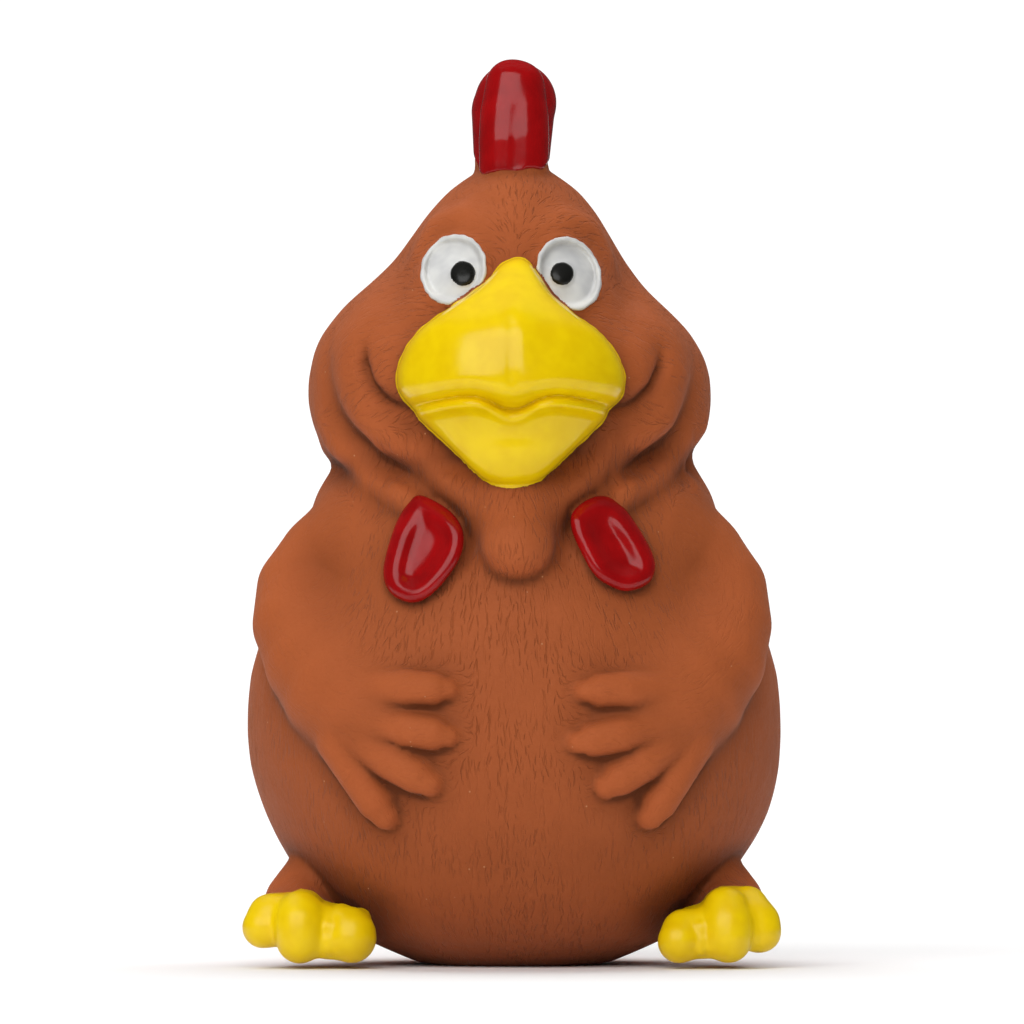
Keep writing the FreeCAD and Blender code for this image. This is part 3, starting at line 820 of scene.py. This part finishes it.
def make_painted(node, low, high, body, slot, thickness, paints):
    """One painted area: a closed coat that stands just proud of the latex."""
    g = Grid(low, high, 0.34)
    bird(g)
    true_distance(g)
    f = g.f
    edge = g.paint[node]
    coat = np.maximum(f - thickness, -(f + PAINT_DEPTH))
    h = np.clip(0.5 - 0.5 * (coat - edge) / PAINT_CORNER, 0.0, 1.0)
    g.f = (coat * (1 - h) + edge * h + PAINT_CORNER * h * (1 - h)).astype(np.float32)
    piece, points = mesh_of(g, node)
    attribute(piece, "rest", "FLOAT_VECTOR", points)
    attribute(piece, "crease", "FLOAT", -sample(g, soften(np.clip(f, -4, 4), g.step, 1.0), points))
    attribute(piece, "edge", "FLOAT", -sample(g, g.rim.get(node, edge), points))
    piece.data.materials.append(paints[slot])
    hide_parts(node)
    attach(piece, body)


def make_wadding():
    """The fibre filling: it fills the hollow up to the wall, all but the squeaker's pocket."""
    wall, bottom = 3.3, 4.6
    g = Grid((-46, -46, 2), (46, 46, 132), 2.0)
    bird(g)
    true_distance(g)
    x, y, z = g.x, g.y, g.z
    lumps = np.sin(0.55 * x + 0.4 * z) * np.sin(0.5 * y - 0.35 * z)
    lumps = lumps + 0.6 * np.sin(0.9 * z + 0.7 * y + 0.5 * x)
    g.f = g.f + wall + 0.5 * lumps
    g.f = np.maximum(g.f, bottom - z)
    g.f = np.maximum(g.f, -cylinder_field(g, *POCKET)).astype(np.float32)
    piece, points = mesh_of(g, "wadding")
    attribute(piece, "rest", "FLOAT_VECTOR", points)
    piece.data.materials.append(wadding_fibre())
    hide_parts("fibre_stuffing")
    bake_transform(piece)


# ---- materials
class Nodes:
    """A short way to write a node material."""
    def __init__(self, name):
        self.material = bpy.data.materials.new(name)
        self.material.use_nodes = True
        self.tree = self.material.node_tree
        self.shader = self.tree.nodes["Principled BSDF"]

    def put(self, socket, value):
        if isinstance(value, bpy.types.NodeSocket):
            self.tree.links.new(value, socket)
        else:
            socket.default_value = value

    def node(self, kind, inputs=(), **settings):
        n = self.tree.nodes.new(kind)
        for key, value in settings.items():
            setattr(n, key, value)
        for key, value in dict(inputs).items():
            self.put(n.inputs[key], value)
        return n

    def attribute(self, name, output="Fac"):
        return self.node("ShaderNodeAttribute", attribute_name=name).outputs[output]

    def math(self, operation, a, b=0.0, clamp=False):
        return self.node("ShaderNodeMath", {0: a, 1: b}, operation=operation, use_clamp=clamp).outputs[0]

    def times(self, a, b, clamp=False):
        return self.math("MULTIPLY", a, b, clamp)

    def minus(self, a, b):
        return self.math("SUBTRACT", a, b)

    def vector(self, operation, a, b=(0, 0, 0)):
        n = self.node("ShaderNodeVectorMath", {0: a, 1: b}, operation=operation)
        return n.outputs["Value" if operation in ("DOT_PRODUCT", "LENGTH") else "Vector"]

    def ramp(self, value, low, high, to_low=0.0, to_high=1.0):
        inputs = {"Value": value, 1: low, 2: high, 3: to_low, 4: to_high}
        return self.node("ShaderNodeMapRange", inputs, interpolation_type="SMOOTHSTEP").outputs[0]

    def noise(self, vector, scale, detail=3.0, rough=0.55):
        inputs = {"Vector": vector, "Scale": scale, "Detail": detail, "Roughness": rough}
        return self.node("ShaderNodeTexNoise", inputs).outputs["Fac"]

    def mix(self, share, a, b):
        return self.node("ShaderNodeMix", {0: share, 6: a, 7: b}, data_type="RGBA").outputs[2]

    def bump(self, height, distance, normal=None):
        inputs = {"Height": height, "Distance": distance, "Strength": 1.0}
        if normal is not None:
            inputs["Normal"] = normal
        return self.node("ShaderNodeBump", inputs).outputs[0]

    def finish(self, **inputs):
        for name, value in inputs.items():
            self.put(self.shader.inputs[name.replace("_", " ")], value)
        return self.material


def strokes(n, place, flow, side, cell, shift, width, length):
    """Short chiselled lines, one to a cell, that run along the flow."""
    here = n.vector("ADD", place, shift)
    cells = n.node("ShaderNodeTexVoronoi", {"Vector": here, "Scale": 1.0 / cell})
    away = n.vector("SUBTRACT", here, cells.outputs["Position"])
    chance = n.node("ShaderNodeSeparateColor", {0: cells.outputs["Color"]})
    skew = n.times(n.minus(chance.outputs[1], 0.5), 0.55)
    along = n.vector("DOT_PRODUCT", away, flow)
    across = n.minus(n.vector("DOT_PRODUCT", away, side), n.times(along, skew))
    share = n.math("DIVIDE", along, length)
    room = n.times(n.minus(1.0, n.times(share, share)), width)
    depth = n.math("DIVIDE", n.minus(room, n.math("ABSOLUTE", across)), width, clamp=True)
    return n.times(depth, n.ramp(chance.outputs[0], 0.25, 0.75))


STROKES = (   # cell, shift, half width, half length of each layer
    (1.5, (11.3, 4.1, 7.7), 0.11, 1.0),
    (1.9, (3.7, 19.4, 13.9), 0.14, 1.4),
    (2.3, (31.1, 8.3, 2.9), 0.15, 1.7),
    (2.9, (17.9, 41.2, 23.3), 0.20, 2.2),
)


def latex():
    """Dull brown latex: strokes, a grain, painted shade in its hollows, creases and strokes, and a few
    specks of dust.
    """
    n = Nodes("latex")
    light, warm, grime = (0.385, 0.088, 0.022, 1), (0.460, 0.112, 0.031, 1), (0.24, 0.058, 0.020, 1)
    # shade and cut are colours of painted shade: for the hollows and creases, and for the engraved strokes
    shade, cut, dusty = (0.120, 0.028, 0.006, 1), (0.12, 0.026, 0.008, 1), (0.46, 0.20, 0.09, 1)
    place = n.attribute("rest", "Vector")
    flow = n.attribute("flow", "Vector")
    outwards = n.node("ShaderNodeNewGeometry").outputs["Normal"]
    side = n.vector("CROSS_PRODUCT", outwards, flow)
    crease, hollow = n.attribute("crease"), n.attribute("hollow")
    facing = n.node("ShaderNodeSeparateXYZ", {"Vector": outwards})
    # painted shade: stronger on surfaces that face down, weaker on those that face up
    below = n.ramp(facing.outputs["Z"], -0.65, 0.45, 1.0, 0.4)
    lines = None
    for cell, shift, width, length in STROKES:
        layer = strokes(n, place, flow, side, cell, shift, width, length)
        lines = layer if lines is None else n.math("MAXIMUM", lines, layer)
    patch = n.ramp(n.noise(place, 0.10, 2.0), 0.34, 0.58, 0.3, 1.0)
    lines = n.times(lines, n.times(patch, n.attribute("chiselled")))
    grain = n.noise(place, 2.2, 4.0, 0.65)
    lumps = n.noise(place, 0.22, 3.0)
    height = n.minus(n.times(grain, 0.14), lines)
    normal = n.bump(lumps, 0.00035)
    normal = n.bump(height, 0.00013, normal)
    tone = n.noise(place, 0.07, 3.0)
    colour = n.mix(tone, light, warm)
    colour = n.mix(n.times(grain, 0.25), colour, grime)
    # painted shade in creases and hollows, weighted towards surfaces that face down
    painted_shade = n.math("ADD", n.ramp(crease, 0.02, 0.5), n.ramp(hollow, -0.9, 0.7))
    painted_shade = n.times(painted_shade, below)
    colour = n.mix(n.times(painted_shade, 0.72, clamp=True), colour, shade)
    # painted shade inside the engraved strokes: they are darkened with the cut colour
    colour = n.mix(n.times(lines, 0.06), colour, cut)
    dust = n.node("ShaderNodeTexVoronoi", {"Vector": place, "Scale": 0.42})
    speck = n.ramp(dust.outputs["Distance"], 0.05, 0.075, 1.0, 0.0)
    kept = n.ramp(n.node("ShaderNodeSeparateColor", {0: dust.outputs["Color"]}).outputs[0], 0.86, 0.88)
    colour = n.mix(n.times(speck, kept), colour, dusty)
    rough = n.ramp(grain, 0.2, 0.8, 0.62, 0.78)
    return n.finish(Base_Color=colour, Roughness=rough, Normal=normal, Specular_IOR_Level=0.16,
                    Sheen_Weight=0.06, Sheen_Roughness=0.45, Sheen_Tint=(1.0, 0.85, 0.75, 1))


def paint(name, colour, deep, rough, wear):
    """Brushed-on paint: a little uneven, with painted shade in its creases, thinner at its edge, duller
    near the ground.
    """
    n = Nodes(name)
    latex_below = (0.30, 0.12, 0.05, 1)
    place = n.attribute("rest", "Vector")
    edge, crease = n.attribute("edge"), n.attribute("crease")
    flow = n.noise(place, 0.22, 2.0)
    fine = n.noise(place, 3.0, 2.0)
    tone = n.mix(n.ramp(flow, 0.3, 0.7), colour, deep)
    # painted shade: the paint turns towards its deeper tone in creases
    tone = n.mix(n.ramp(crease, 0.03, 0.35, 0.0, 0.55), tone, deep)
    thin = n.math("ADD", edge, n.times(n.minus(n.noise(place, 1.1), 0.5), 0.5))
    tone = n.mix(n.ramp(thin, 0.0, 0.32, wear, 0.0), tone, latex_below)
    height = n.math("ADD", flow, n.times(fine, 0.1))
    height_up = n.node("ShaderNodeSeparateXYZ", {"Vector": place}).outputs["Z"]
    duller = n.ramp(height_up, 14.0, 40.0, 0.13, 0.0)
    dullness = n.math("ADD", n.ramp(flow, 0.25, 0.75, rough, rough + 0.05), duller)
    return n.finish(Base_Color=tone, Roughness=dullness, Normal=n.bump(height, 0.00005),
                    Specular_IOR_Level=0.3)


COLOURS = {   # colour, deeper tone (for uneven patches and for the painted shade in creases), roughness, how much latex shows at the edge
    "red_paint": ((0.34, 0.003, 0.004, 1), (0.27, 0.002, 0.003, 1), 0.15, 0.2),
    "yellow_paint": ((0.86, 0.60, 0.001, 1), (0.80, 0.53, 0.0, 1), 0.17, 0.25),
    "white_paint": ((0.70, 0.70, 0.68, 1), (0.55, 0.55, 0.55, 1), 0.40, 0.15),
    "black_paint": ((0.007, 0.007, 0.006, 1), (0.01, 0.01, 0.009, 1), 0.26, 0.0),
}


def moulded(name, colour, rough, cloudy):
    """Plain moulded plastic, for the squeaker."""
    n = Nodes(name)
    place = n.vector("MULTIPLY", n.node("ShaderNodeTexCoord").outputs["Object"], (1.0 / MM,) * 3)
    swirl = n.noise(place, 0.5, 3.0)
    deep = tuple(c * cloudy for c in colour[:3]) + (1,)
    return n.finish(Base_Color=n.mix(n.ramp(swirl, 0.3, 0.7), colour, deep),
                    Roughness=n.ramp(swirl, 0.3, 0.7, rough, rough + 0.1),
                    Normal=n.bump(n.noise(place, 2.5, 3.0), 0.00004), Subsurface_Weight=0.1,
                    Subsurface_Radius=(0.002, 0.002, 0.002))


def wadding_fibre():
    """White polyester fluff."""
    n = Nodes("wadding_fibre")
    place = n.attribute("rest", "Vector")
    fluff = n.noise(place, 0.5, 5.0, 0.7)
    strand = n.node("ShaderNodeTexWave", {"Vector": place, "Scale": 0.8, "Distortion": 9.0, "Detail": 3.0})
    height = n.math("ADD", fluff, n.times(strand.outputs["Fac"], 0.3))
    colour = n.mix(fluff, (0.62, 0.61, 0.58, 1), (0.80, 0.79, 0.76, 1))
    return n.finish(Base_Color=colour, Roughness=0.9, Normal=n.bump(height, 0.0008), Sheen_Weight=0.4)


def finish_squeaker():
    """Better materials on the squeaker's CAD parts."""
    plastic = moulded("squeaker_plastic", (0.78, 0.78, 0.74, 1), 0.38, 0.93)
    film = moulded("reed_film", (0.66, 0.60, 0.44, 1), 0.22, 0.85)
    for node in ("squeaker_housing", "reed_holder", "reed_clip", "squeaker_cap", "reed"):
        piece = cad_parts[node]
        piece.data.materials.clear()
        piece.data.materials.append(film if node == "reed" else plastic)


# ---- camera and studio, in metres
EYE = (-0.00033, -2.5, 0.0749)
VIEW_WIDTH = 0.16973                   # what the camera sees, at the bird
LOOK_AT = (0, 0, 0.07)                 # where the lights point
FLOOR = 0.45                           # radius
BEHIND = (0.975, 0.996, 0.07, 1.12)    # backdrop: a direction's y where it begins and is full, strengths
BELOW = (-0.17, -0.24, 0.07, 1.12)     # the same for its z, below the floor's edge
LIGHTS = (                             # name, place, width, height, power
    ("key", (-0.42, -1.28, 0.98), 1.8, 1.5, 24.5),
    ("top", (0.0, 0.50, 1.30), 1.7, 1.4, 22.0),
)


def camera_and_light():
    camera = bpy.data.cameras.new("camera")
    camera.sensor_width = 36.0
    camera.lens = camera.sensor_width * -EYE[1] / VIEW_WIDTH
    camera.clip_end = 20.0
    eye = bpy.data.objects.new("camera", camera)
    eye.location = EYE
    eye.rotation_euler = (math.pi / 2, 0, 0)
    bpy.context.collection.objects.link(eye)
    bpy.context.scene.camera = eye
    backdrop()
    floor()
    for name, place, wide, tall, power in LIGHTS:
        data = bpy.data.lights.new(name, "AREA")
        data.shape = "RECTANGLE"
        data.energy, data.size, data.size_y = power, wide, tall
        lamp = bpy.data.objects.new(name, data)
        lamp.location = place
        lamp.visible_glossy = name == "key"     # the only one that the gloss shows
        lamp.rotation_euler = (Vector(LOOK_AT) - Vector(place)).to_track_quat("-Z", "Y").to_euler()
        bpy.context.collection.objects.link(lamp)


def backdrop():
    """A white wall behind the floor, and dim light from everywhere else."""
    world = bpy.data.worlds.new("world")
    world.use_nodes = True
    tree = world.node_tree
    way = tree.nodes.new("ShaderNodeTexCoord")
    split = tree.nodes.new("ShaderNodeSeparateXYZ")
    tree.links.new(way.outputs["Generated"], split.inputs[0])
    most = tree.nodes.new("ShaderNodeMath")
    most.operation = "MAXIMUM"
    for place, (axis, numbers) in enumerate((("Y", BEHIND), ("Z", BELOW))):
        fade = tree.nodes.new("ShaderNodeMapRange")
        fade.interpolation_type = "SMOOTHSTEP"
        tree.links.new(split.outputs[axis], fade.inputs[0])
        for n, value in enumerate(numbers):
            fade.inputs[n + 1].default_value = value
        tree.links.new(fade.outputs[0], most.inputs[place])
    tree.links.new(most.outputs[0], tree.nodes["Background"].inputs["Strength"])
    tree.nodes["Background"].inputs["Color"].default_value = (1, 1, 1, 1)
    bpy.context.scene.world = world


def floor():
    """A pale round floor."""
    mesh = bpy.data.meshes.new("floor")
    turns = [2 * math.pi * i / 96 for i in range(96)]
    mesh.from_pydata([(FLOOR * math.cos(t), FLOOR * math.sin(t), 0) for t in turns], [], [range(96)])
    piece = bpy.data.objects.new("floor", mesh)
    bpy.context.collection.objects.link(piece)
    n = Nodes("floor")
    grain = n.noise(n.node("ShaderNodeTexCoord").outputs["Object"], 900.0, 2.0)
    piece.data.materials.append(n.finish(Base_Color=(0.93, 0.93, 0.93, 1), Roughness=0.9,
                                         Specular_IOR_Level=0.1, Normal=n.bump(grain, 0.00002)))


bpy.context.scene.view_settings.view_transform = "Standard"
camera_and_light()
make_skin()
make_wadding()
PAINTS = {name: paint(name, *look) for name, look in COLOURS.items()}
for NODE, FACTS in PAINTED.items():
    make_painted(NODE, *FACTS, PAINTS)
finish_squeaker()
